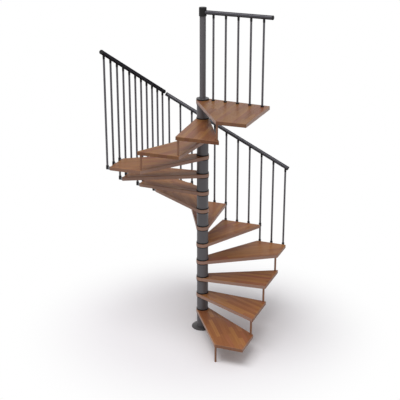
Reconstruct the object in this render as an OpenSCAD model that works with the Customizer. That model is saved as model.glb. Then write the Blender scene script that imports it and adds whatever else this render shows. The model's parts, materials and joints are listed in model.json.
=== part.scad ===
// Square spiral staircase: a centre column of stacked spacers carries twelve
// winding timber treads and a landing, with steel balusters and round handrails
// on the two sides that are open to a drop.
// Millimetres, +Z up. The column axis is the Z axis and the floor is Z = 0.
// The stair climbs counter-clockwise seen from above.

/* [Climb] */
// Height from the floor to the top of the first tread
first_rise = 236; // [200:1:260]
// Height from one tread top to the next
rise = 215; // [185:1:230]

/* [Treads and landing] */
// Distance from the column axis to each straight outer side of the plan
tread_half = 786; // [650:1:900]
// Thickness of the treads and of the landing
tread_t = 42; // [30:1:60]
// Radius of the round hub of a tread
hub_r = 74; // [67:0.5:90]
// How far the hub stands proud of the tread's straight edges
hub_proud = 1.5; // [0.5:0.1:4]
// How far a tread runs on under the nosing of the next one, at its outer end
overlap = 40; // [28:1:60]
// Radius of the tread corners in plan
corner_r = 6; // [3:0.5:8]
// How far the landing's rear corner lies past the column axis
landing_rear = 0; // [-40:1:40]

/* [Centre column] */
// Outside radius of the spacer tubes
spacer_r = 66.5; // [50:0.5:68]
// Wall of the spacer tubes
spacer_wall = 3; // [2:0.5:6]
// Outside radius of the centre tube that ties the stack together
core_r = 30; // [20:0.5:31]
// Wall of the centre tube
core_wall = 4; // [2:0.5:8]
// Radial clearance between the centre tube and what is threaded on it
core_clear = 0.3; // [0.1:0.1:1]
// Radius of the dark rings above and below each tread
ring_r = 71.5; // [67:0.5:73.5]
// Thickness of the ring on top of each tread
top_ring_t = 12; // [4:0.5:14]
// Thickness of the ring under each tread
low_ring_t = 8; // [3:0.5:10]
// Depth of the lip that centres a spacer tube on its ring
ring_lip = 6; // [2:0.5:10]
// Clearance between that lip and the tube
lip_clear = 0.3; // [0.1:0.1:1]

/* [Base flange] */
// Radius of the base flange
flange_r = 129; // [110:1:180]
// Height of the flange at its rim
flange_rim = 6; // [4:0.5:10]
// Height of the flange at the column
flange_h = 22; // [16:0.5:40]
// Width of the flat left round the column on top of the flange
flange_flat = 3; // [1:0.5:8]
// Depth of the floor left under the centre tube
flange_floor = 8; // [4:0.5:12]

/* [Newel post] */
// Outside radius of the newel post
newel_r = 35; // [33:0.5:45]
// Wall of the newel post
newel_wall = 3; // [2:0.5:4]
// Radius of the domed disc under the newel post
newel_disc_r = 71.5; // [50:0.5:73.5]
// Height of that disc
newel_disc_h = 10; // [8:0.5:24]
// Height of the straight rim of that disc
newel_disc_rim = 4; // [2:0.5:6]
// Width of the flat left round the newel post on top of the disc
newel_flat = 4; // [2:0.5:8]
// Height of the newel cap's top over the landing rail's axis
cap_over = 53; // [34:1:70]
// Radius of the newel cap
cap_r = 42; // [38:0.5:55]
// Height of the newel cap
cap_h = 94; // [70:1:130]
// Rounding of the newel cap's upper edge
cap_edge = 6; // [2:0.5:10]
// Depth that the newel post goes up into its cap
cap_seat = 70; // [30:1:80]
// How far the centre tube reaches up inside the newel post
core_in_newel = 120; // [60:1:200]

/* [Balusters] */
// Distance from the tread ends to the baluster axes
rail_off = 34; // [30:0.5:60]
// Distance between neighbouring balusters
bal_pitch = 150.9; // [120:0.1:160]
// Shift of the baluster row along the climb
bal_shift = 13.9; // [0:0.1:16]
// Outside radius of a baluster
bal_r = 11.5; // [8:0.25:14]
// Wall of a baluster
bal_wall = 2; // [1:0.25:3]
// Radius of the clamp round a baluster at a tread end
clamp_r = 16; // [15:0.25:18]
// Height of that clamp
clamp_h = 46; // [36:1:56]
// How far the clamp stands over the top of its tread
clamp_up = 10; // [4:1:14]
// Rounding at the two ends of the clamp
clamp_round = 5; // [2:0.5:8]
// Floor of a clamp that closes the foot of a baluster
clamp_floor = 5; // [3:0.5:8]
// Radial clearance of a baluster in its clamp and in its top joint
bal_clear = 0.2; // [0.1:0.1:0.5]
// Width of the metal bracket between a tread end and a clamp
bracket_w = 18; // [10:0.5:24]
// Margin of the bracket to the top and underside of the tread
bracket_edge = 4; // [1:0.5:8]
// Gap between a bracket and its clamp
bracket_clear = 0.2; // [0.1:0.1:0.5]

/* [Handrails] */
// Radius of the handrails
rail_r = 23; // [18:0.5:28]
// Wall of the handrails
rail_wall = 3; // [2:0.5:5]
// Overhang of the rear handrail past its end balusters
rear_rail_over = 27; // [27:1:46]
// Overhang of the left handrail past its end balusters
left_rail_over = 44; // [30:1:46]
// Height of the rear rail axis over the fourth tread at its first baluster
rear_rail_h = 986; // [900:1:1050]
// Height of the left rail axis over the seventh tread at its first baluster
left_rail_h = 1154; // [1080:1:1200]
// Risers that a handrail climbs from its first baluster to its last
rail_risers = 3.43; // [3:0.01:3.6]
// Radius of the joint at the top of a baluster
joint_r = 13; // [12:0.25:16]
// Length of that joint under the handrail
joint_h = 34; // [24:1:50]
// Depth that a baluster goes up into its joint
joint_seat = 24; // [14:1:32]
// Length of the cap on a handrail end
plug_t = 13; // [8:0.5:20]
// How far that cap stands proud of the handrail
plug_proud = 1.5; // [0.5:0.25:3]
// Length of the plug that goes into the handrail
plug_in = 14; // [8:1:24]
// Radial clearance of a plug in its handrail
plug_clear = 0.2; // [0.1:0.1:0.5]

/* [Landing handrail] */
// Height of the landing rail axis over the landing
land_rail_h = 969; // [850:1:975]
// Length of the landing rail from the column axis
land_rail_len = 816; // [700:1:860]
// Distance from the column axis to the first landing baluster
land_bal_first = 130; // [100:1:145]
// Distance between the landing balusters
land_bal_pitch = 148; // [120:1:155]
// Least distance from a landing baluster to the end of its rail and of the landing
land_bal_edge = 30; // [24:1:60]
// Radius of the collar at the foot of a landing baluster
foot_r = 18; // [16:0.5:26]
// Height of that collar
foot_h = 16; // [10:0.5:30]
// Rounding of the collar's upper edge
foot_edge = 4; // [1:0.25:4]

/* [Tie posts] */
// Radius of the wooden posts between the open tread ends
post_r = 12; // [9:0.5:13.5]
// Distance of the post axes in from the tread ends
post_in = 28; // [22:1:40]

/* [Hidden] */
$fn = 64;
steps = 12;
step_a = 30;
// How far a cut runs on past the face that it goes through
cut = 1;
start_a = -60;
bal_n = 11;
land_bal_n = 1 + floor((min(land_rail_len, tread_half) - land_bal_first - land_bal_edge)
    / land_bal_pitch);
rail_line = tread_half + rail_off;
core_bore = core_r + core_clear;
newel_top = land_rail_h + cap_over;
newel_foot = top_ring_t + newel_disc_h;
wedge_r = hub_r - hub_proud;
land_z = top_z(steps + 1);
slope_a = atan(rail_risers * rise / ((bal_n - 1) * bal_pitch));
rail_run = (bal_n - 1) * bal_pitch / cos(slope_a);
land_rail_a = -asin(wedge_r / tread_half);
// First tread with balusters on the rear side and on the left side
rear_first = 4;
left_first = 7;
// Angles of the tread joints that the wooden posts stand at, with the upper tread
post_joints = [[-60, 1], [-30, 2], [0, 3], [30, 4], [240, 11], [270, 12], [300, 13]];

wood = [0.56, 0.39, 0.29];
post_wood = [0.48, 0.37, 0.30];
dark = [0.20, 0.19, 0.20];
steel = [0.34, 0.33, 0.34];
bar = [0.26, 0.25, 0.27];
black = [0.11, 0.11, 0.12];

// Top of tread k, with the landing as the one after the last tread
function top_z(k) = first_rise + (k - 1) * rise;
// Point p turned by angle a about the axis
function turn(p, a) = [p.x * cos(a) - p.y * sin(a), p.x * sin(a) + p.y * cos(a)];
// The side of the square that a ray at angle a meets
function side_of(a) = round(a / 90) * 90;
// Point on the plan's outline at angle a, moved by e along the climb
function outline(a, e, inset = 0) =
    let (q = side_of(a), x = tread_half - inset)
    turn([x, x * tan(a - q) + e], q);
// Point where a line from p touches the hub, on the side given by s
function touch(p, s) =
    let (a = atan2(p.y, p.x) + s * acos(wedge_r / norm(p)))
    [wedge_r * cos(a), wedge_r * sin(a)];
// Corner p between a and b, rounded by radius r
function rounded(a, p, b, r) =
    let (u = (a - p) / norm(a - p), v = (b - p) / norm(b - p),
        half = acos(u * v) / 2, c = p + (u + v) / norm(u + v) * r / sin(half),
        s = p + u * r / tan(half) - c, e = p + v * r / tan(half) - c,
        a0 = atan2(s.y, s.x), d = atan2(s.x * e.y - s.y * e.x, s * e))
    [for (i = [0 : 4]) c + r * [cos(a0 + d * i / 4), sin(a0 + d * i / 4)]];
// Outer corners of the tread that starts at angle a0 and ends at p_end
function corners(a0, p_end) =
    let (p0 = outline(a0, 0), q0 = side_of(a0))
    abs(turn(p_end, -q0).x - tread_half) < 0.01 ? [p0, p_end]
        : [p0, turn([tread_half, tread_half], q0), p_end];
// Place of baluster n of a row, in the frame of its own side
function bal_y(n) = (n - (bal_n - 1) / 2) * bal_pitch + bal_shift;
// Place of baluster i on the landing, out from the column axis
function land_bal_x(i) = land_bal_first + i * land_bal_pitch;
// Height of a rail axis at baluster n of a row
function rail_z(z0, n) = z0 + n * bal_pitch * tan(slope_a);
// Treads that baluster n of a row is clamped to, lowest first
function bal_treads(first, n) =
    n == 2 ? [first, first + 1] : n == 5 ? [first + 1, first + 2]
        : n == 8 ? [first + 2, first + 3]
        : [first + (n < 2 ? 0 : n < 5 ? 1 : n < 8 ? 2 : 3)];
// Height of the bottom of a clamp on tread k
function clamp_z(k) = top_z(k) + clamp_up - clamp_h;
// Height of the lower end of the joint under a rail axis at z, on a slope of angle a
function joint_z(z, a) = z - rail_r / cos(a) - joint_h;
// Quarter of an ellipse from [r0 + dr, z0] up and in to [r0, z0 + dz]
function dome(r0, dr, z0, dz) =
    [for (i = [0 : 6]) [r0 + dr * cos(15 * i), z0 + dz * sin(15 * i)]];

module tread_plate(a0, p_end) {
    c = corners(a0, p_end);
    n = len(c);
    t0 = touch(c[0], -1);
    t1 = touch(c[n - 1], 1);
    ring = concat([t0], c, [t1]);
    pts = [for (i = [1 : n], p = rounded(ring[i - 1], ring[i], ring[i + 1], corner_r)) p];
    difference() {
        union() {
            linear_extrude(tread_t) polygon(concat([t0], pts, [t1]));
            cylinder(r = hub_r, h = tread_t);
        }
        translate([0, 0, -cut]) cylinder(r = core_bore, h = tread_t + 2 * cut);
    }
}

module tread(k) {
    a0 = start_a + (k - 1) * step_a;
    color(wood) translate([0, 0, top_z(k) - tread_t])
        tread_plate(a0, outline(a0 + step_a, overlap));
}

module landing() {
    color(wood) translate([0, 0, land_z - tread_t])
        tread_plate(start_a, [tread_half, landing_rear]);
}

module base_flange() {
    flat = spacer_r + flange_flat;
    color(dark) rotate_extrude() polygon([
        each [[0, 0], [flange_r, 0]],
        each dome(flat, flange_r - flat, flange_rim, flange_h - flange_rim),
        each [[core_bore, flange_h], [core_bore, flange_floor], [0, flange_floor]]]);
}

module centre_tube() {
    color(steel) translate([0, 0, flange_floor]) difference() {
        h = land_z + core_in_newel - flange_floor;
        cylinder(r = core_r, h = h);
        translate([0, 0, -cut]) cylinder(r = core_r - core_wall, h = h + 2 * cut);
    }
}

module spacer_tubes() {
    color(steel) for (k = [1 : steps + 1]) {
        low = k == 1 ? flange_h : top_z(k - 1) + top_ring_t;
        high = top_z(k) - tread_t - low_ring_t;
        translate([0, 0, low]) difference() {
            cylinder(r = spacer_r, h = high - low);
            translate([0, 0, -cut])
                cylinder(r = spacer_r - spacer_wall, h = high - low + 2 * cut);
        }
    }
}

// Flat ring with a lip that goes into the end of a spacer tube
module ring(t, up) {
    lip = spacer_r - spacer_wall - lip_clear;
    difference() {
        union() {
            cylinder(r = ring_r, h = t);
            translate([0, 0, up ? 0 : -ring_lip]) cylinder(r = lip, h = t + ring_lip);
        }
        translate([0, 0, -ring_lip - cut]) cylinder(r = core_bore, h = t + 2 * (ring_lip + cut));
    }
}

module tread_top_rings() {
    color(dark) {
        for (k = [1 : steps]) translate([0, 0, top_z(k)]) ring(top_ring_t, true);
        translate([0, 0, land_z]) difference() {
            cylinder(r = ring_r, h = top_ring_t);
            translate([0, 0, -cut]) cylinder(r = core_bore, h = top_ring_t + 2 * cut);
        }
    }
}

module tread_low_rings() {
    color(dark) for (k = [1 : steps + 1])
        translate([0, 0, top_z(k) - tread_t - low_ring_t]) ring(low_ring_t, false);
}

module newel_disc() {
    flat = newel_r + newel_flat;
    color(dark) translate([0, 0, land_z + top_ring_t]) rotate_extrude() polygon([
        each [[core_bore, 0], [newel_disc_r, 0]],
        each dome(flat, newel_disc_r - flat, newel_disc_rim, newel_disc_h - newel_disc_rim),
        [core_bore, newel_disc_h]]);
}

module newel_post() {
    h = newel_top - cap_h + cap_seat - newel_foot;
    color(steel) translate([0, 0, land_z + newel_foot]) difference() {
        cylinder(r = newel_r, h = h);
        translate([0, 0, -cut]) cylinder(r = newel_r - newel_wall, h = h + 2 * cut);
    }
}

module newel_cap() {
    color(black) translate([0, 0, land_z + newel_top - cap_h]) rotate_extrude() polygon([
        each [[newel_r + core_clear, 0], [cap_r, 0]],
        each dome(cap_r - cap_edge, cap_edge, cap_h - cap_edge, cap_edge),
        each [[0, cap_h], [0, cap_seat], [newel_r + core_clear, cap_seat]]]);
}

// A straight rail along +X from x0 to x1, of radius r
module bar_x(x0, x1, r) {
    translate([x0, 0, 0]) rotate([0, 90, 0]) cylinder(r = r, h = x1 - x0);
}

// Puts a shape drawn along +X onto the slope of a side rail: x is measured from
// the first baluster, q is the side and z0 the rail's height there
module on_rail(q, z0) {
    rotate([0, 0, q]) translate([rail_line, bal_y(0), z0]) rotate([0, 0, 90])
        rotate([0, -slope_a, 0]) children();
}

module side_rail(q, z0, over) {
    reach = over / cos(slope_a);
    on_rail(q, z0) difference() {
        bar_x(-reach, rail_run + reach, rail_r);
        bar_x(-reach - cut, rail_run + reach + cut, rail_r - rail_wall);
    }
}

function rear_z0() = top_z(rear_first) + rear_rail_h;
function left_z0() = top_z(left_first) + left_rail_h;

module rear_handrail() { color(black) side_rail(90, rear_z0(), rear_rail_over); }
module left_handrail() { color(black) side_rail(180, left_z0(), left_rail_over); }

module on_landing() {
    translate([0, 0, land_z]) rotate([0, 0, land_rail_a]) children();
}

module landing_handrail() {
    color(black) on_landing() difference() {
        translate([0, 0, land_rail_h]) difference() {
            bar_x(0, land_rail_len, rail_r);
            bar_x(-cut, land_rail_len + cut, rail_r - rail_wall);
        }
        cylinder(r = cap_r, h = newel_top);
    }
}

// Cap with a plug for a rail end that faces +X at x = 0
module plug() {
    r = rail_r + plug_proud;
    rotate([0, 90, 0]) rotate_extrude() polygon([
        each [[0, -plug_in], [rail_r - rail_wall - plug_clear, -plug_in],
            [rail_r - rail_wall - plug_clear, 0], [r, 0]],
        each dome(r * 2 / 3, r / 3, plug_t / 2, plug_t / 2), [0, plug_t]]);
}

module rail_plugs(q, z0, over) {
    reach = over / cos(slope_a);
    on_rail(q, z0) {
        translate([rail_run + reach, 0, 0]) plug();
        translate([-reach, 0, 0]) rotate([0, 0, 180]) plug();
    }
}

module handrail_plugs() {
    color(black) {
        rail_plugs(90, rear_z0(), rear_rail_over);
        rail_plugs(180, left_z0(), left_rail_over);
        on_landing() translate([land_rail_len, 0, land_rail_h]) plug();
    }
}

module baluster(z0, z1) {
    difference() {
        translate([0, 0, z0]) cylinder(r = bal_r, h = z1 - z0);
        translate([0, 0, z0 - cut]) cylinder(r = bal_r - bal_wall, h = z1 - z0 + 2 * cut);
    }
}

module side_balusters(q, first, z0) {
    for (n = [0 : bal_n - 1]) {
        k = bal_treads(first, n)[0];
        rotate([0, 0, q]) translate([rail_line, bal_y(n), 0]) baluster(
            clamp_z(k) + clamp_floor, joint_z(rail_z(z0, n), slope_a) + joint_seat);
    }
}

module rear_balusters() { color(bar) side_balusters(90, rear_first, rear_z0()); }
module left_balusters() { color(bar) side_balusters(180, left_first, left_z0()); }

module landing_balusters() {
    color(bar) on_landing() for (i = [0 : land_bal_n - 1])
        translate([land_bal_x(i), 0, 0])
            baluster(foot_h / 2, joint_z(land_rail_h, 0) + joint_seat);
}

// Joint on the top of a baluster, up to the rail axis at z on a slope of angle a
module top_joint(z, a) {
    low = joint_z(z, a);
    difference() {
        translate([0, 0, low]) cylinder(r = joint_r, h = z - low);
        translate([0, 0, low - cut]) cylinder(r = bal_r + bal_clear, h = joint_seat + cut);
    }
}

module side_joints(q, z0, over) {
    reach = over / cos(slope_a);
    for (n = [0 : bal_n - 1]) difference() {
        rotate([0, 0, q]) translate([rail_line, bal_y(n), 0])
            top_joint(rail_z(z0, n), slope_a);
        on_rail(q, z0) bar_x(-reach, rail_run + reach, rail_r);
    }
}

module rear_top_joints() { color(black) side_joints(90, rear_z0(), rear_rail_over); }
module left_top_joints() { color(black) side_joints(180, left_z0(), left_rail_over); }

module landing_top_joints() {
    color(black) on_landing() for (i = [0 : land_bal_n - 1]) difference() {
        translate([land_bal_x(i), 0, 0]) top_joint(land_rail_h, 0);
        translate([0, 0, land_rail_h]) bar_x(0, land_rail_len, rail_r);
    }
}

// Clamp round a baluster, standing on z = 0, its foot closed or open
module clamp(closed) {
    end = dome(clamp_r - clamp_round, clamp_round, clamp_h - clamp_round, clamp_round);
    difference() {
        rotate_extrude() polygon([
            [0, 0], each [for (i = [6 : -1 : 0]) [end[i].x, clamp_h - end[i].y]],
            each end, [0, clamp_h]]);
        translate([0, 0, closed ? clamp_floor : -cut])
            cylinder(r = bal_r + bal_clear, h = clamp_h + 2 * cut);
    }
}

module side_clamps(q, first) {
    for (n = [0 : bal_n - 1]) {
        ks = bal_treads(first, n);
        for (i = [0 : len(ks) - 1]) rotate([0, 0, q])
            translate([rail_line, bal_y(n), clamp_z(ks[i])]) clamp(i == 0);
    }
}

// Bracket from the tread end to the clamp round the axis, with its top at z = 0
module bracket() {
    difference() {
        translate([-rail_off, -bracket_w / 2, bracket_edge - tread_t])
            cube([rail_off, bracket_w, tread_t - 2 * bracket_edge]);
        translate([0, 0, -tread_t]) cylinder(r = clamp_r + bracket_clear, h = tread_t);
    }
}

module side_brackets(q, first) {
    for (n = [0 : bal_n - 1], k = bal_treads(first, n)) rotate([0, 0, q])
        translate([rail_line, bal_y(n), top_z(k)]) bracket();
}

module rear_clamps() { color(dark) side_clamps(90, rear_first); }
module left_clamps() { color(dark) side_clamps(180, left_first); }
module rear_brackets() { color(steel) side_brackets(90, rear_first); }
module left_brackets() { color(steel) side_brackets(180, left_first); }

module landing_feet() {
    color(dark) on_landing() for (i = [0 : land_bal_n - 1])
        translate([land_bal_x(i), 0, 0]) rotate_extrude() polygon([
            each [[0, 0], [foot_r, 0]],
            each dome(foot_r - foot_edge, foot_edge, foot_h - foot_edge, foot_edge),
            each [[bal_r + bal_clear, foot_h], [bal_r + bal_clear, foot_h / 2], [0, foot_h / 2]]]);
}

module tie_post(j) {
    a = j[0];
    q = side_of(a);
    k = j[1];
    low = k == 1 ? 0 : top_z(k - 1);
    p = turn([tread_half - post_in, (tread_half - post_in) * tan(a - q) + overlap / 2], q);
    translate([p.x, p.y, low]) cylinder(r = post_r, h = top_z(k) - tread_t - low);
}

module floor_post() { color(post_wood) tie_post(post_joints[0]); }
module lower_tie_posts() { color(post_wood) for (i = [1 : 3]) tie_post(post_joints[i]); }
module upper_tie_posts() { color(post_wood) for (i = [4 : 6]) tie_post(post_joints[i]); }

base_flange();
centre_tube();
spacer_tubes();
tread_top_rings();
tread_low_rings();
tread(1);  // tread_01
tread(2);  // tread_02
tread(3);  // tread_03
tread(4);  // tread_04
tread(5);  // tread_05
tread(6);  // tread_06
tread(7);  // tread_07
tread(8);  // tread_08
tread(9);  // tread_09
tread(10);  // tread_10
tread(11);  // tread_11
tread(12);  // tread_12
landing();
newel_disc();
newel_post();
newel_cap();
rear_handrail();
left_handrail();
landing_handrail();
handrail_plugs();
rear_balusters();
left_balusters();
landing_balusters();
rear_clamps();
left_clamps();
rear_brackets();
left_brackets();
rear_top_joints();
left_top_joints();
landing_top_joints();
landing_feet();
floor_post();
lower_tie_posts();
upper_tie_posts();
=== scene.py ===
# %% [markdown]
# # A spiral staircase on a square plan
#
# This lesson dresses a finished CAD model of a staircase: twelve wooden winder
# treads and a landing round a grey steel column, with black handrails, dark
# balusters and slim wooden posts. The CAD already has every piece in its place
# and at its real size in metres. What is left for Blender is what the eye sees:
# the board's grain, the eased wooden edges, the paint, the light and the camera.

# %% Load the CAD model
import json
import math
import random

import bpy
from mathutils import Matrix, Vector
from mathutils.geometry import tessellate_polygon


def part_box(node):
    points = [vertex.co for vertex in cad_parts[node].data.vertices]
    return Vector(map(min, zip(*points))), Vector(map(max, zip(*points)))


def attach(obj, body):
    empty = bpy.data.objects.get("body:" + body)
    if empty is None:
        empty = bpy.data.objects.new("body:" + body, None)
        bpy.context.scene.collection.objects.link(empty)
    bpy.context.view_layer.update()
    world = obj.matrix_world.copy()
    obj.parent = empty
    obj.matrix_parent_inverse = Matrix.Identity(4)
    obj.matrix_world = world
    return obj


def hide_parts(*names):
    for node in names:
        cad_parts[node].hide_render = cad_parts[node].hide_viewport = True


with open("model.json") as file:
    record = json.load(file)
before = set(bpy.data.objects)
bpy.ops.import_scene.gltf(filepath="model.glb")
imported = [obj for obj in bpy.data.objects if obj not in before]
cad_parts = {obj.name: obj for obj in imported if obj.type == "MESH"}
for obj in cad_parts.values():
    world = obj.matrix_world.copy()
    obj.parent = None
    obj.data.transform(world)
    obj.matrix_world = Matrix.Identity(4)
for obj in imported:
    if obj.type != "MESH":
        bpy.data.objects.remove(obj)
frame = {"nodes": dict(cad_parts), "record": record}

scene = bpy.context.scene
cad_nodes = frame["nodes"]
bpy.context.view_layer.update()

# %% [markdown]
# ## The camera
#
# The picture looks down on the stair from the front right. A camera can be
# placed by eye, or worked out from corners whose real places are known. Here
# the treads' corners and the balusters gave a focal length in pixels, a place
# and two angles, and laying the stair's outline over the picture's then refined
# them. The picture keeps its uprights parallel, as an architect's lens does. A
# lens shift that large would push the stair out of every other view, so this
# camera tilts down instead, and its uprights lean in a little.

# %% Camera
IMAGE_PX = 400
FOCAL_PX = 970.8
SENSOR_MM = 36.0
CAMERA_PLACE = (3.873, -9.811, 5.470)
CAMERA_TURN = math.radians(-21.706)     # to the left of straight ahead
CAMERA_DIP = math.radians(20.032)       # below the horizon

lens_data = bpy.data.cameras.new("stair_camera")
lens_data.sensor_width = SENSOR_MM
lens_data.lens = FOCAL_PX / IMAGE_PX * SENSOR_MM
camera = bpy.data.objects.new("stair_camera", lens_data)
scene.collection.objects.link(camera)
look = Vector((math.sin(CAMERA_TURN) * math.cos(CAMERA_DIP),
               math.cos(CAMERA_TURN) * math.cos(CAMERA_DIP),
               -math.sin(CAMERA_DIP)))
camera.location = CAMERA_PLACE
camera.rotation_euler = look.to_track_quat("-Z", "Y").to_euler()
scene.camera = camera
print("lens", round(lens_data.lens, 2), "mm")

# %% [markdown]
# ## Colours and nodes
#
# Colours are written as the sRGB hex values that a colour picker shows, but a
# shader works in linear light, so one function turns the one into the other.
# Three more keep every material below a plain list of nodes: one sets a node's
# values and links, one adds any shader node, and one starts a material.

# %% Colour and node helpers
MM = 0.001
SHARE, COLOUR_A, COLOUR_B, MIXED = 0, 6, 7, 2     # the sockets of a Mix node that mixes colours


def linear(hex_colour):
    channels = [int(hex_colour[i:i + 2], 16) / 255 for i in (1, 3, 5)]
    return tuple(c / 12.92 if c <= 0.04045 else ((c + 0.055) / 1.055) ** 2.4 for c in channels) + (1.0,)


def set_node(tree, node, inputs=None, links=None):
    for socket, value in (inputs or {}).items():
        node.inputs[socket].default_value = value
    for socket, source in (links or {}).items():
        tree.links.new(source, node.inputs[socket])
    return node


def add_node(tree, kind, inputs=None, links=None, **settings):
    node = tree.nodes.new(kind)
    for name, value in settings.items():
        setattr(node, name, value)
    return set_node(tree, node, inputs, links)


def start_material(name):
    material = bpy.data.materials.new(name)
    material.use_nodes = True
    return material, material.node_tree, material.node_tree.nodes["Principled BSDF"]


WHITE = linear("#FFFFFF")
print("mid grey #808080 is", round(linear("#808080")[0], 3), "in linear light")

# %% [markdown]
# ## Studio light
#
# The picture is a studio shot: white all round, with one soft pool of shadow
# under the stair. A ring of lamps could do that, but a dome of even light does
# most of it without a single hard shadow. It is white where the camera or a
# reflection looks, and dimmer where it lights, so that a big lamp can add some
# shape. The lamp is a wide softbox, high in front and far off, so the lowest
# tread gets as much of it as the landing, and its mirror image is the grey
# gleam along the rails. Dome and lamp add up to a plain level, at which a
# colour comes out about as it is written.

# %% World
scene.view_settings.view_transform = "Standard"
DOME_LIGHT, FULL_WHITE = 0.55, 1.0


def looked_at(tree):
    ray = add_node(tree, "ShaderNodeLightPath")
    camera_or_gloss = add_node(tree, "ShaderNodeMath", operation="MAXIMUM",
                               links={0: ray.outputs["Is Camera Ray"], 1: ray.outputs["Is Glossy Ray"]})
    seen = add_node(tree, "ShaderNodeMath", operation="MAXIMUM",
                    links={0: camera_or_gloss.outputs[0], 1: ray.outputs["Is Transmission Ray"]})
    return ray, seen.outputs[0]


world = bpy.data.worlds.new("white_studio")
world.use_nodes = True
scene.world = world
sky = world.node_tree
sky.nodes.clear()
ray, seen = looked_at(sky)
lighting = add_node(sky, "ShaderNodeBackground", {"Color": WHITE, "Strength": DOME_LIGHT})
backdrop = add_node(sky, "ShaderNodeBackground", {"Color": WHITE, "Strength": FULL_WHITE})
either = add_node(sky, "ShaderNodeMixShader",
                  links={0: seen, 1: lighting.outputs[0], 2: backdrop.outputs[0]})
add_node(sky, "ShaderNodeOutputWorld", links={"Surface": either.outputs[0]})
print("dome lights with", DOME_LIGHT)

# %% Lamp
LAMP_PLACE, LAMP_AIM = Vector((-1.6, -6.0, 18.0)), Vector((0.0, 0.0, 1.5))
LAMP_WIDTH, LAMP_DEPTH = 15.0, 9.0
LAMP_WATTS = 1700.0

lamp_data = bpy.data.lights.new("high_softbox", "AREA")
lamp_data.shape = "RECTANGLE"
lamp_data.size, lamp_data.size_y = LAMP_WIDTH, LAMP_DEPTH
lamp_data.energy = LAMP_WATTS
lamp = bpy.data.objects.new("high_softbox", lamp_data)
scene.collection.objects.link(lamp)
lamp.location = LAMP_PLACE
lamp.rotation_euler = (LAMP_AIM - LAMP_PLACE).to_track_quat("-Z", "Y").to_euler()
lamp_share = LAMP_WATTS / (math.pi * LAMP_PLACE.length) ** 2
print("lamp adds about", round(lamp_share, 2))

# %% [markdown]
# ## The floor
#
# The floor is only a stage: a wide pale disc that catches the soft shadow. A
# plain one would end in a grey horizon. So, far from the stair, this one turns
# into the white of the backdrop, by its distance from the column and not by
# where the camera stands. Light that bounces off it is kept lower than its
# looks, as from a floor that is not lit beyond the stair, or the tread edges
# would glow from below. Its underside is clear, so a camera below it can look
# up at the treads.

# %% Floor
FLOOR_REACH, FLOOR_SIDES = 60.0, 96
FLOOR_DROP = 0.5 * MM     # just under the base flange, so that the two faces don't flicker

rim = []
for i in range(FLOOR_SIDES):
    turn = math.tau * i / FLOOR_SIDES
    rim.append((FLOOR_REACH * math.cos(turn), FLOOR_REACH * math.sin(turn), -FLOOR_DROP))
floor_mesh = bpy.data.meshes.new("studio_floor")
floor_mesh.from_pydata(rim, [], [list(range(FLOOR_SIDES))])
floor = bpy.data.objects.new("studio_floor", floor_mesh)
scene.collection.objects.link(floor)
print("floor reaches", FLOOR_REACH, "m")

# %% Floor paint
FADE_BEGINS, FADE_ENDS = 0.9, 2.3     # metres from the column

floor_paint = bpy.data.materials.new("matt_white_floor")
floor_paint.use_nodes = True
tree = floor_paint.node_tree
tree.nodes.clear()
place = add_node(tree, "ShaderNodeTexCoord")
reach = add_node(tree, "ShaderNodeVectorMath", operation="LENGTH", links={0: place.outputs["Object"]})
fade = add_node(tree, "ShaderNodeMapRange", {"From Min": FADE_BEGINS, "From Max": FADE_ENDS},
                {"Value": reach.outputs["Value"]}, interpolation_type="SMOOTHSTEP")
ray, seen = looked_at(tree)
share = add_node(tree, "ShaderNodeMath", links={0: fade.outputs[0], 1: seen}, operation="MULTIPLY")
bounced = add_node(tree, "ShaderNodeMix", {COLOUR_A: linear("#FBF9FC"), COLOUR_B: linear("#B4B4B4")},
                   {SHARE: ray.outputs["Is Diffuse Ray"]}, data_type="RGBA")
matt = add_node(tree, "ShaderNodeBsdfDiffuse", links={"Color": bounced.outputs[MIXED]})
white = add_node(tree, "ShaderNodeEmission", {"Color": WHITE, "Strength": FULL_WHITE})
either = add_node(tree, "ShaderNodeMixShader",
                  links={0: share.outputs[0], 1: matt.outputs[0], 2: white.outputs[0]})
side = add_node(tree, "ShaderNodeNewGeometry")
clear = add_node(tree, "ShaderNodeBsdfTransparent")
one_sided = add_node(tree, "ShaderNodeMixShader",
                     links={0: side.outputs["Backfacing"], 1: either.outputs[0], 2: clear.outputs[0]})
add_node(tree, "ShaderNodeOutputMaterial", links={"Surface": one_sided.outputs[0]})
floor_mesh.materials.append(floor_paint)
print("floor paint:", floor_paint.name)

# %% [markdown]
# ## The board: stained beech staves under satin lacquer
#
# The treads are sawn from stave board: beech strips some 45 mm wide and up to
# half a metre long, glued side by side, stained walnut brown and lacquered. The
# eye sees strips of slightly different brown, fine streaks along each strip,
# and a soft sheen that turns pale at a low angle. An image could show that, but
# nodes keep it sharp from any distance. The board's own map, `grain`, holds
# metres along the strips and across them. Rounding down the place across gives
# the strip's number, and rounding down the shifted place along gives the
# number of the piece in that strip. Those two numbers pick a tone and a seed.

# %% Which stave is it
STAVE_WIDTH, STAVE_LENGTH = 46 * MM, 430 * MM
STAVE_TONES = [(0.0, "#86563B"), (0.25, "#93613F"), (0.5, "#9B6C41"), (0.75, "#A27148"), (1.0, "#8D5742")]

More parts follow.
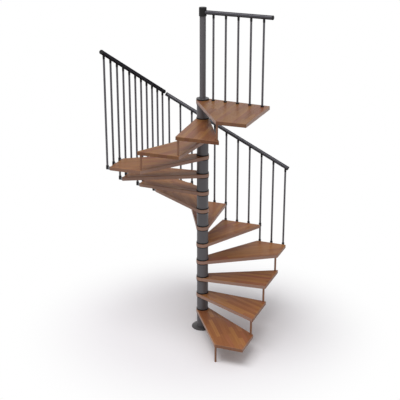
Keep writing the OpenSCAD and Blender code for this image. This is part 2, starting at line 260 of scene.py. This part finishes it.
board, tree, lacquer = start_material("walnut_stained_beech_staves")
grain_map = add_node(tree, "ShaderNodeUVMap", uv_map="grain")
metres = add_node(tree, "ShaderNodeSeparateXYZ", links={0: grain_map.outputs[0]})
metres_along, metres_across = metres.outputs["X"], metres.outputs["Y"]
strips = add_node(tree, "ShaderNodeMath", {1: STAVE_WIDTH}, {0: metres_across}, operation="DIVIDE")
strip = add_node(tree, "ShaderNodeMath", links={0: strips.outputs[0]}, operation="FLOOR")
slide = add_node(tree, "ShaderNodeTexWhiteNoise", links={"W": strip.outputs[0]}, noise_dimensions="1D")
lengths = add_node(tree, "ShaderNodeMath", {1: STAVE_LENGTH}, {0: metres_along}, operation="DIVIDE")
slid = add_node(tree, "ShaderNodeMath", links={0: lengths.outputs[0], 1: slide.outputs["Value"]},
                operation="ADD")
stave = add_node(tree, "ShaderNodeMath", links={0: slid.outputs[0]}, operation="FLOOR")
stave_number = add_node(tree, "ShaderNodeCombineXYZ", links={0: strip.outputs[0], 1: stave.outputs[0]})
stave_seed = add_node(tree, "ShaderNodeTexWhiteNoise", links={"Vector": stave_number.outputs[0]},
                      noise_dimensions="2D")

tone = add_node(tree, "ShaderNodeValToRGB", links={0: stave_seed.outputs["Value"]})
stops = tone.color_ramp.elements
while len(stops) < len(STAVE_TONES):
    stops.new(0.5)
for stop, (position, colour) in zip(stops, STAVE_TONES):
    stop.position = position
    stop.color = linear(colour)
print("stave board:", len(STAVE_TONES), "tones")

# %% Streaks and pores
STREAK_WIDTH, STREAK_LENGTH = 7 * MM, 260 * MM     # real streaks are 1 to 3 mm wide; drawn wider, to show
PORE_WIDTH, PORE_LENGTH = 1.2 * MM, 14 * MM
STREAK_DARK, STREAK_PALE = 0.84, 1.12
PORE_DARK, PORE_ENDS = 0.86, 0.55
SEED_SPREAD = 90.0                                 # far enough apart that no two staves share streaks
NOISE_LOW, NOISE_HIGH = 0.3, 0.7                   # most of a noise texture lies between these

depth = add_node(tree, "ShaderNodeMath", {1: SEED_SPREAD}, {0: stave_seed.outputs["Value"]},
                 operation="MULTIPLY")
streak_along = add_node(tree, "ShaderNodeMath", {1: STREAK_LENGTH}, {0: metres_along}, operation="DIVIDE")
streak_across = add_node(tree, "ShaderNodeMath", {1: STREAK_WIDTH}, {0: metres_across}, operation="DIVIDE")
streak_place = add_node(tree, "ShaderNodeCombineXYZ",
                        links={0: streak_along.outputs[0], 1: streak_across.outputs[0], 2: depth.outputs[0]})
streaks = add_node(tree, "ShaderNodeTexNoise",
                   {"Scale": 1.0, "Detail": 4.0, "Roughness": 0.6, "Distortion": 0.6},
                   {"Vector": streak_place.outputs[0]})
pore_along = add_node(tree, "ShaderNodeMath", {1: PORE_LENGTH}, {0: metres_along}, operation="DIVIDE")
pore_across = add_node(tree, "ShaderNodeMath", {1: PORE_WIDTH}, {0: metres_across}, operation="DIVIDE")
pore_place = add_node(tree, "ShaderNodeCombineXYZ",
                      links={0: pore_along.outputs[0], 1: pore_across.outputs[0], 2: depth.outputs[0]})
pores = add_node(tree, "ShaderNodeTexNoise", {"Scale": 1.0, "Detail": 2.0}, {"Vector": pore_place.outputs[0]})

streak_shade = add_node(tree, "ShaderNodeMapRange",
                        {"From Min": NOISE_LOW, "From Max": NOISE_HIGH,
                         "To Min": STREAK_DARK, "To Max": STREAK_PALE}, {"Value": streaks.outputs[0]})
pore_shade = add_node(tree, "ShaderNodeMapRange",
                      {"From Min": NOISE_LOW, "From Max": PORE_ENDS, "To Min": PORE_DARK, "To Max": 1.0},
                      {"Value": pores.outputs[0]})
shade = add_node(tree, "ShaderNodeMath", links={0: streak_shade.outputs[0], 1: pore_shade.outputs[0]},
                 operation="MULTIPLY")
grained = add_node(tree, "ShaderNodeVectorMath",
                   links={0: tone.outputs["Color"], "Scale": shade.outputs[0]}, operation="SCALE")
print("streaks of", STREAK_WIDTH, "m and pores of", PORE_WIDTH, "m")

# %% [markdown]
# Each board carries its own colour factor, a tone that is partly the board's own
# and partly painted light: lighter on the lower boards, which the boards above
# shade, and darker on the upper boards and the landing, which get more light.
# The upright faces along the strips and the whole hub are mixed towards a paler,
# greyer brown. End grain soaks up more of the walnut colour and comes out darker,
# and that darkening also paints the shade on those faces. A painted highlight
# lies along each rounded edge. Three masks on the mesh say where these go. A
# glue line is a little darker.

# %% Stain and lacquer
# upright faces paler and greyer; end grain darker, partly its real stain and partly painted shade; a painted
# highlight along the rounded edges
EDGE_TINTS_AND_PAINTED_LIGHT = [("long_edge", 0.75, "#B8988C"), ("end_grain", 0.5, "#6E4A3A"), ("eased_edge_highlight", 0.3, "#B08663")]
GLUE_LINE, GLUE_DARK = 0.8 * MM, 0.45
BOTH_SIDES = 0.5      # counting up to half a strip and back gives the distance to the nearer joint
DULL, SHINY = 0.46, 0.36

# each board's tone factor: partly its own tone, partly painted light and shade
board_tone_and_light = add_node(tree, "ShaderNodeAttribute", attribute_name="board_tone_and_light")
toned_and_lit = add_node(tree, "ShaderNodeVectorMath", links={0: grained.outputs[0], 1: board_tone_and_light.outputs["Vector"]},
                   operation="MULTIPLY")
brown = toned_and_lit.outputs[0]
for mask_name, strength, colour in EDGE_TINTS_AND_PAINTED_LIGHT:
    mask = add_node(tree, "ShaderNodeAttribute", attribute_name=mask_name)
    amount = add_node(tree, "ShaderNodeMath", {1: strength}, {0: mask.outputs["Fac"]}, operation="MULTIPLY")
    changed = add_node(tree, "ShaderNodeMix", {COLOUR_B: linear(colour)},
                       {SHARE: amount.outputs[0], COLOUR_A: brown}, data_type="RGBA")
    brown = changed.outputs[MIXED]
to_joint = add_node(tree, "ShaderNodeMath", {1: BOTH_SIDES}, {0: strips.outputs[0]}, operation="PINGPONG")
glue = add_node(tree, "ShaderNodeMapRange",
                {"From Min": 0.0, "From Max": GLUE_LINE / STAVE_WIDTH, "To Min": GLUE_DARK, "To Max": 0.0},
                {"Value": to_joint.outputs[0]})
jointed = add_node(tree, "ShaderNodeMix", {COLOUR_B: linear("#5A3A2A")},
                   {SHARE: glue.outputs[0], COLOUR_A: brown}, data_type="RGBA")
sheen = add_node(tree, "ShaderNodeMapRange",
                 {"From Min": NOISE_LOW, "From Max": NOISE_HIGH, "To Min": DULL, "To Max": SHINY},
                 {"Value": streaks.outputs[0]})
relief = add_node(tree, "ShaderNodeBump", {"Strength": 0.25, "Distance": 0.3 * MM},
                  {"Height": shade.outputs[0]})
set_node(tree, lacquer, {"IOR": 1.5, "Specular IOR Level": 0.15},
         {"Base Color": jointed.outputs[MIXED], "Roughness": sheen.outputs[0], "Normal": relief.outputs[0]})
print("stave board:", len(tree.nodes), "nodes")

# %% [markdown]
# ## Treads and landing with eased edges
#
# A joiner never leaves a tread's edge sharp: a router rounds the top and bottom
# edges to a few millimetres, and that line of light tells the eye it is wood. A
# Bevel modifier could do it, but it stumbles over the fan of thin triangles
# round the hub. So each board is rebuilt from the CAD's own outline: the loops
# round its top face are read, the outer one is stepped in along a quarter
# circle at the top and the bottom, and flat faces close it round the bore.

# %% Read a board's outline
SAME_PLACE = 5            # decimals of a metre that tell two points of the CAD apart
TOP_BAND = 0.01 * MM      # a point this close to the top belongs to the top face


def top_edges(mesh, top):
    points = [(round(v.co.x, SAME_PLACE), round(v.co.y, SAME_PLACE)) for v in mesh.vertices]
    uses = {}
    for face in mesh.polygons:
        if all(mesh.vertices[v].co.z > top - TOP_BAND for v in face.vertices):
            corners = [points[v] for v in face.vertices]
            for a, b in zip(corners, corners[1:] + corners[:1]):
                if a != b:
                    uses[frozenset((a, b))] = uses.get(frozenset((a, b)), 0) + 1
    return [sorted(edge) for edge, count in uses.items() if count == 1]


def outline_loops(node):
    low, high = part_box(node)
    beside = {}
    for a, b in top_edges(cad_nodes[node].data, high.z):
        beside.setdefault(a, []).append(b)
        beside.setdefault(b, []).append(a)
    loops = []
    while beside:
        loop, here, before = [], min(beside), None
        while here in beside:
            ahead = [point for point in beside.pop(here) if point != before]
            loop.append(here)
            before, here = here, ahead[0]
        area = sum(a[0] * b[1] - b[0] * a[1] for a, b in zip(loop, loop[1:] + loop[:1])) / 2
        loops.append((abs(area), loop if area > 0 else loop[::-1]))
    loops.sort(reverse=True)
    return [loop for area, loop in loops], low.z, high.z


loops, under, top = outline_loops("tread_02")
print("tread_02:", [len(loop) for loop in loops], "points, from", round(under, 4), "to", round(top, 4))

# %% Step the outline in along a quarter circle
EASED_RADIUS, EASED_STEPS = 5 * MM, 4
SHARPEST = 0.3            # keeps the step at a very sharp corner within bounds


def stepped_in(loop, distance):
    inner = []
    for i, (x, y) in enumerate(loop):
        (xa, ya), (xb, yb) = loop[i - 1], loop[(i + 1) % len(loop)]
        into, out = Vector((y - ya, xa - x)).normalized(), Vector((yb - y, x - xb)).normalized()
        corner = (into + out) / max(SHARPEST, 1 + into.dot(out))
        inner.append((x - corner.x * distance, y - corner.y * distance))
    return inner


def eased_rings(outer, under, top):
    rings, edge_highlight = [], []
    for from_top in (False, True):
        steps = range(EASED_STEPS, -1, -1) if from_top else range(EASED_STEPS + 1)
        for step in steps:
            turn = math.pi / 2 * step / EASED_STEPS
            inset, drop = EASED_RADIUS * (1 - math.sin(turn)), EASED_RADIUS * (1 - math.cos(turn))
            height = top - drop if from_top else under + drop
            rings.append([(x, y, height) for x, y in stepped_in(outer, inset)])
            # painted highlight weight: none on the flat faces, strongest halfway round the rounded edge
            edge_highlight += [math.sin(2 * turn)] * len(outer)
    return rings, edge_highlight


print("tread_02:", len(eased_rings(loops[0], under, top)[0]), "rings")

# %% Close the rings to a board
def flat_faces(points, outer, bore, upward):
    numbers = outer + bore
    outlines = [[Vector(points[n]) for n in outer], [Vector(points[n]) for n in bore]]
    faces = []
    for a, b, c in tessellate_polygon(outlines):
        pa, pb, pc = (Vector(points[numbers[k]]) for k in (a, b, c))
        faces_up = (pb - pa).cross(pc - pa).z > 0
        faces.append([numbers[k] for k in ((a, b, c) if faces_up == upward else (a, c, b))])
    return faces


def board_mesh(node, board_tone_and_light):
    (outer, bore), under, top = outline_loops(node)
    rings, edge_highlight = eased_rings(outer, under, top)
    count, last_ring = len(outer), (len(rings) - 1) * len(outer)
    points = [point for ring in rings for point in ring]
    bore_low, bore_high = len(points), len(points) + len(bore)
    points += [(x, y, under) for x, y in bore] + [(x, y, top) for x, y in bore]
    edge_highlight += [0.0] * (2 * len(bore))

    faces = []
    for ring in range(0, last_ring, count):
        for i in range(count):
            j = (i + 1) % count
            faces.append((ring + i, ring + j, ring + count + j, ring + count + i))
    for i in range(len(bore)):
        j = (i + 1) % len(bore)
        faces.append((bore_low + j, bore_low + i, bore_high + i, bore_high + j))
    faces += flat_faces(points, list(range(count)), list(range(bore_low, bore_high)), False)
    faces += flat_faces(points, list(range(last_ring, bore_low)), list(range(bore_high, len(points))), True)

    mesh = bpy.data.meshes.new(node + "_board")
    mesh.from_pydata(points, [], faces)
    # where the painted highlight of the rounded edges goes
    mesh.attributes.new("eased_edge_highlight", "FLOAT", "POINT").data.foreach_set("value", edge_highlight)
    # the board's tone factor, partly painted light and shade, on every point
    board_tone_layer = mesh.attributes.new("board_tone_and_light", "FLOAT_VECTOR", "POINT")
    board_tone_layer.data.foreach_set("vector", list(board_tone_and_light) * len(points))
    mesh.polygons.foreach_set("use_smooth", [True] * len(mesh.polygons))
    mesh.update()
    return mesh, top


outer, bore = loops
flat_top = [(x, y, top) for x, y in outer + bore]
closing = flat_faces(flat_top, list(range(len(outer))), list(range(len(outer), len(flat_top))), True)
print("tread_02:", len(closing), "faces close its top")

# %% [markdown]
# The map `grain` is laid flat on the top and folded down over the sides, as if
# the strips ran on through the board. The masks follow from where a face looks:
# upright faces that cut across the strips at the outer end are end grain, and
# every other upright face, with the whole hub, counts as a long edge.

# %% Map the grain
BOARD_STOCK = 9.0         # metres of stock; each board is cut from a stretch of its own
SIDE_FOLD = 0.3           # down a side the map moves slowly, so a side shows one strip or two
FLAT = 0.9                # a face whose normal points up or down by more than this is the top or bottom
PAST_HUB = 1 * MM
hub_radius, half_side = -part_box("landing")[0].x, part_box("landing")[1].x


def map_grain(mesh, top, grain_angle, seed):
    chance = random.Random(seed)
    shift_along, shift_across = chance.uniform(0, BOARD_STOCK), chance.uniform(0, BOARD_STOCK)
    along = Vector((math.cos(grain_angle), math.sin(grain_angle)))
    across = Vector((-along.y, along.x))
    grain = mesh.uv_layers.new(name="grain")
    long_edge, end_grain = [0.0] * len(mesh.loops), [0.0] * len(mesh.loops)
    for face in mesh.polygons:
        end_on = abs(face.normal.x * along.x + face.normal.y * along.y)
        upright = 1 - abs(face.normal.z)
        outer_end = abs(face.normal.xy.dot(face.center.xy.normalized()))
        cut_across = end_on * outer_end if face.center.xy.length > hub_radius + PAST_HUB else 0.0
        for loop in face.loop_indices:
            spot = mesh.vertices[mesh.loops[loop].vertex_index].co
            down = top - spot.z
            u = spot.xy.dot(along) + down * end_on
            v = spot.xy.dot(across) + down * SIDE_FOLD * (1 - end_on) * (abs(face.normal.z) < FLAT)
            grain.data[loop].uv = (u + shift_along, v + shift_across)
            long_edge[loop], end_grain[loop] = upright * (1 - cut_across), upright * cut_across
    mesh.attributes.new("long_edge", "FLOAT", "CORNER").data.foreach_set("value", long_edge)
    mesh.attributes.new("end_grain", "FLOAT", "CORNER").data.foreach_set("value", end_grain)


def make_board(node, grain_angle, board_tone_and_light, seed):
    mesh, top = board_mesh(node, board_tone_and_light)
    map_grain(mesh, top, grain_angle, seed)
    piece = bpy.data.objects.new(node + "_board", mesh)
    scene.collection.objects.link(piece)
    mesh.materials.append(board)
    even = piece.modifiers.new("flat_faces_stay_flat", "WEIGHTED_NORMAL")
    even.weight = 100     # the largest face at a corner decides its shading
    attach(piece, "root")
    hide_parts(node)
    return piece


print("hub", round(hub_radius, 4), "m, half side", round(half_side, 4), "m")

# %% [markdown]
# The strips of a tread run along its front edge, the nosing, so that edge is
# one whole strip. Seen from above, the nosing of the first tread ends at 60
# degrees clockwise from the right-hand side, and each tread turns on by 30 the
# other way. As the nosing starts at the hub's rim and not at its centre, it
# points a few degrees further. The landing's strips run along its right-hand
# edge. Each board's tone is partly its own and partly painted light. The lower
# boards are warm and golden and made lighter, painted light against the shade of
# the boards above them. The upper ones are cooler and darker, and the landing,
# which gets the most light, is the darkest: painted shade that evens out the
# light they get.

# %% Twelve treads and a landing
TREADS = 12
FIRST_NOSING, TURN = -60.0, 30.0
LANDING_GRAIN = math.radians(90)
# board tones, partly painted light: lower boards lighter against their shade, upper boards and landing darker
# against their light
WARM_TONE_PAINTED_LIGHT, LAST_WARM = Vector((1.17, 1.10, 1.00)), 5
COOL_TONE_PAINTED_SHADE, FIRST_COOL = Vector((0.86, 0.83, 0.78)), 10
LANDING_TONE_PAINTED_SHADE = Vector((0.73, 0.72, 0.67))
TREAD_SEED, LANDING_SEED = 100, 131

made = []
for number in range(1, TREADS + 1):
    radial = math.radians(FIRST_NOSING + TURN * (number - 1))
    corner_reach = half_side / max(abs(math.cos(radial)), abs(math.sin(radial)))
    nosing = radial + math.asin(hub_radius / corner_reach)
    coolness = (number - LAST_WARM) / (FIRST_COOL - LAST_WARM)
    # from a lighter, warm tone low down (painted light) to a darker, cool tone high up (painted shade)
    board_tone_and_light = WARM_TONE_PAINTED_LIGHT.lerp(COOL_TONE_PAINTED_SHADE, min(1.0, max(0.0, coolness)))
    made.append(make_board("tread_%02d" % number, nosing, board_tone_and_light, TREAD_SEED + number))
made.append(make_board("landing", LANDING_GRAIN, LANDING_TONE_PAINTED_SHADE, LANDING_SEED))
print("boards:", len(made), "faces:", sum(len(piece.data.polygons) for piece in made))

# %% [markdown]
# ## Powder-coated steel
#
# The column, the newel, the balusters and the base flange are steel tube and
# plate with baked powder paint. The coat flows out into a faint orange-peel
# skin, so its gloss is broken and soft. Each grey could be a material built by
# hand, but the same recipe serves all three: a colour with slow, slight clouds
# in it, a satin roughness, and a bump.

# %% Painted metals
PEEL = 3 * MM             # real orange peel is 1 to 2 mm; drawn a little coarser, so that it shows
CLOUD = 220 * MM
GLOSS_CHANGE = 0.06


def powder_coat(name, colour, pale, roughness, peel_depth):
    paint, tree, coat = start_material(name)
    place = add_node(tree, "ShaderNodeTexCoord")
    clouds = add_node(tree, "ShaderNodeTexNoise", {"Scale": 1 / CLOUD, "Detail": 3.0},
                      {"Vector": place.outputs["Object"]})
    peel = add_node(tree, "ShaderNodeTexNoise", {"Scale": 1 / PEEL, "Detail": 1.0},
                    {"Vector": place.outputs["Object"]})
    tint = add_node(tree, "ShaderNodeMix", {COLOUR_A: linear(colour), COLOUR_B: linear(pale)},
                    {SHARE: clouds.outputs[0]}, data_type="RGBA")
    gloss = add_node(tree, "ShaderNodeMapRange",
                     {"From Min": NOISE_LOW, "From Max": NOISE_HIGH,
                      "To Min": roughness - GLOSS_CHANGE, "To Max": roughness + GLOSS_CHANGE},
                     {"Value": clouds.outputs[0]})
    relief = add_node(tree, "ShaderNodeBump", {"Strength": 0.1, "Distance": peel_depth},
                      {"Height": peel.outputs[0]})
    set_node(tree, coat, {"IOR": 1.5, "Specular IOR Level": 0.5},
             {"Base Color": tint.outputs[MIXED], "Roughness": gloss.outputs[0], "Normal": relief.outputs[0]})
    return paint


column_grey = powder_coat("grey_powder_coated_steel", "#595659", "#656266", 0.42, 0.05 * MM)
baluster_grey = powder_coat("dark_grey_powder_coated_steel", "#555358", "#5F5D63", 0.5, 0.01 * MM)
flange_grey = powder_coat("charcoal_powder_coated_steel", "#3D3A3C", "#484446", 0.48, 0.1 * MM)
print("painted:", column_grey.name, baluster_grey.name, flange_grey.name)

# %% [markdown]
# ## Blackened handrails
#
# The rails are steel tube, blackened in a hot bath and rubbed with oil. The dark
# oxide is thin, so the tube still gleams like metal where it faces a lamp. Light
# that only grazes the tube runs a long way through the oxide and is lost there.
# So a rail seen across shows a broad grey gleam on top, and a rail seen along
# its length stays black. Black paint would do the reverse, because every paint
# shines at a low angle. A metal shader gives the oxide's look with a dark colour
# and a specular tint, which darkens a metal where light grazes it.

# %% Handrail steel
HANDLED = 120 * MM        # hands polish a rail in patches about a palm wide
DRAWN = 4 * MM            # real drawing marks are finer; drawn coarser, so that they show

blackened, tree, oxide = start_material("blackened_oiled_steel")
place = add_node(tree, "ShaderNodeTexCoord")
handled = add_node(tree, "ShaderNodeTexNoise", {"Scale": 1 / HANDLED, "Detail": 4.0},
                   {"Vector": place.outputs["Object"]})
black = add_node(tree, "ShaderNodeMix", {COLOUR_A: linear("#454448"), COLOUR_B: linear("#504F53")},
                 {SHARE: handled.outputs[0]}, data_type="RGBA")
gloss = add_node(tree, "ShaderNodeMapRange",
                 {"From Min": NOISE_LOW, "From Max": NOISE_HIGH, "To Min": 0.32, "To Max": 0.42},
                 {"Value": handled.outputs[0]})
drawn = add_node(tree, "ShaderNodeTexNoise", {"Scale": 1 / DRAWN, "Detail": 1.0},
                 {"Vector": place.outputs["Object"]})
relief = add_node(tree, "ShaderNodeBump", {"Strength": 0.05, "Distance": 0.1 * MM},
                  {"Height": drawn.outputs[0]})
set_node(tree, oxide, {"Metallic": 1.0, "Specular Tint": linear("#484848")},
         {"Base Color": black.outputs[MIXED], "Roughness": gloss.outputs[0], "Normal": relief.outputs[0]})
print("rail:", blackened.name)

# %% [markdown]
# ## Moulded nylon
#
# Rings, clamps, feet, joints and end caps are moulded nylon, dyed through. The
# mould is spark-eroded, which leaves a fine matt grain and hides sink marks. A
# plain black would look like a hole in the picture, so the grain also breaks up
# the colour and the gloss a little.

# %% Nylon
SPARK_GRAIN = 3 * MM      # real spark grain is under 1 mm; drawn coarser, so that it shows

nylon, tree, skin = start_material("black_moulded_nylon")
place = add_node(tree, "ShaderNodeTexCoord")
spark = add_node(tree, "ShaderNodeTexNoise", {"Scale": 1 / SPARK_GRAIN, "Detail": 2.0},
                 {"Vector": place.outputs["Object"]})
dye = add_node(tree, "ShaderNodeMix", {COLOUR_A: linear("#100F10"), COLOUR_B: linear("#1A1819")},
               {SHARE: spark.outputs[0]}, data_type="RGBA")
gloss = add_node(tree, "ShaderNodeMapRange",
                 {"From Min": NOISE_LOW, "From Max": NOISE_HIGH, "To Min": 0.46, "To Max": 0.6},
                 {"Value": spark.outputs[0]})
relief = add_node(tree, "ShaderNodeBump", {"Strength": 0.2, "Distance": 0.15 * MM},
                  {"Height": spark.outputs[0]})
set_node(tree, skin, {"IOR": 1.53, "Specular IOR Level": 0.25},
         {"Base Color": dye.outputs[MIXED], "Roughness": gloss.outputs[0], "Normal": relief.outputs[0]})
print("moulded:", nylon.name)

# %% [markdown]
# ## Cast aluminium
#
# The small brackets that hold the balusters off the tread ends are die-cast
# aluminium, tumbled dull. Grey paint would look chalky here. Bare metal has no
# colour of its own under the gloss: its reflection is the colour, blurred by a
# rough, slightly mottled skin.

# %% Brackets
MOTTLE = 5 * MM

cast, tree, metal = start_material("tumbled_cast_aluminium")
place = add_node(tree, "ShaderNodeTexCoord")
mottle = add_node(tree, "ShaderNodeTexNoise", {"Scale": 1 / MOTTLE, "Detail": 3.0},
                  {"Vector": place.outputs["Object"]})
alloy = add_node(tree, "ShaderNodeMix", {COLOUR_A: linear("#6E6E71"), COLOUR_B: linear("#86868A")},
                 {SHARE: mottle.outputs[0]}, data_type="RGBA")
gloss = add_node(tree, "ShaderNodeMapRange",
                 {"From Min": NOISE_LOW, "From Max": NOISE_HIGH, "To Min": 0.42, "To Max": 0.58},
                 {"Value": mottle.outputs[0]})
relief = add_node(tree, "ShaderNodeBump", {"Strength": 0.15, "Distance": 0.15 * MM},
                  {"Height": mottle.outputs[0]})
set_node(tree, metal, {"Metallic": 1.0},
         {"Base Color": alloy.outputs[MIXED], "Roughness": gloss.outputs[0], "Normal": relief.outputs[0]})
print("cast:", cast.name)

# %% [markdown]
# ## Turned posts
#
# The slim posts between the free tread ends are turned from the same stained
# beech. The boards' material needs a grain map, which the posts don't have and
# don't need: they are too slim for strips and only show streaks that run up
# the post, so a noise stretched upward is enough.

# %% Post wood
POST_STREAK_WIDTH, POST_STREAK_LENGTH = 4 * MM, 120 * MM

turned, tree, varnish = start_material("walnut_stained_turned_beech")
place = add_node(tree, "ShaderNodeTexCoord")
per_metre = (1 / POST_STREAK_WIDTH, 1 / POST_STREAK_WIDTH, 1 / POST_STREAK_LENGTH)
stretch = add_node(tree, "ShaderNodeVectorMath", {1: per_metre}, {0: place.outputs["Object"]},
                   operation="MULTIPLY")
fibres = add_node(tree, "ShaderNodeTexNoise", {"Scale": 1.0, "Detail": 4.0, "Distortion": 0.4},
                  {"Vector": stretch.outputs[0]})
stem = add_node(tree, "ShaderNodeMix", {COLOUR_A: linear("#6F4935"), COLOUR_B: linear("#A06F50")},
                {SHARE: fibres.outputs[0]}, data_type="RGBA")
gloss = add_node(tree, "ShaderNodeMapRange",
                 {"From Min": NOISE_LOW, "From Max": NOISE_HIGH, "To Min": 0.5, "To Max": 0.4},
                 {"Value": fibres.outputs[0]})
relief = add_node(tree, "ShaderNodeBump", {"Strength": 0.2, "Distance": 0.2 * MM},
                  {"Height": fibres.outputs[0]})
set_node(tree, varnish, {"IOR": 1.5},
         {"Base Color": stem.outputs[MIXED], "Roughness": gloss.outputs[0], "Normal": relief.outputs[0]})
print("posts:", turned.name)

# %% [markdown]
# ## Each CAD piece gets its finish
#
# The tubes, rings, clamps and caps have the right shape already, so they stay
# as the CAD made them and only change their material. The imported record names
# a finish for every piece, and each finish has its material above.

# %% Hand out the finishes
FINISH = {
    "column_steel": column_grey,
    "baluster_steel": baluster_grey,
    "dark_metal": flange_grey,
    "rail_black": blackened,
    "dark_plastic": nylon,
    "bracket_metal": cast,
    "post_wood": turned,
    "tread_wood": board,
}
for row in frame["record"]["subparts"]:
    piece = cad_nodes[row["node"]]
    piece.data.materials.clear()
    piece.data.materials.append(FINISH[row["material_slot"]])
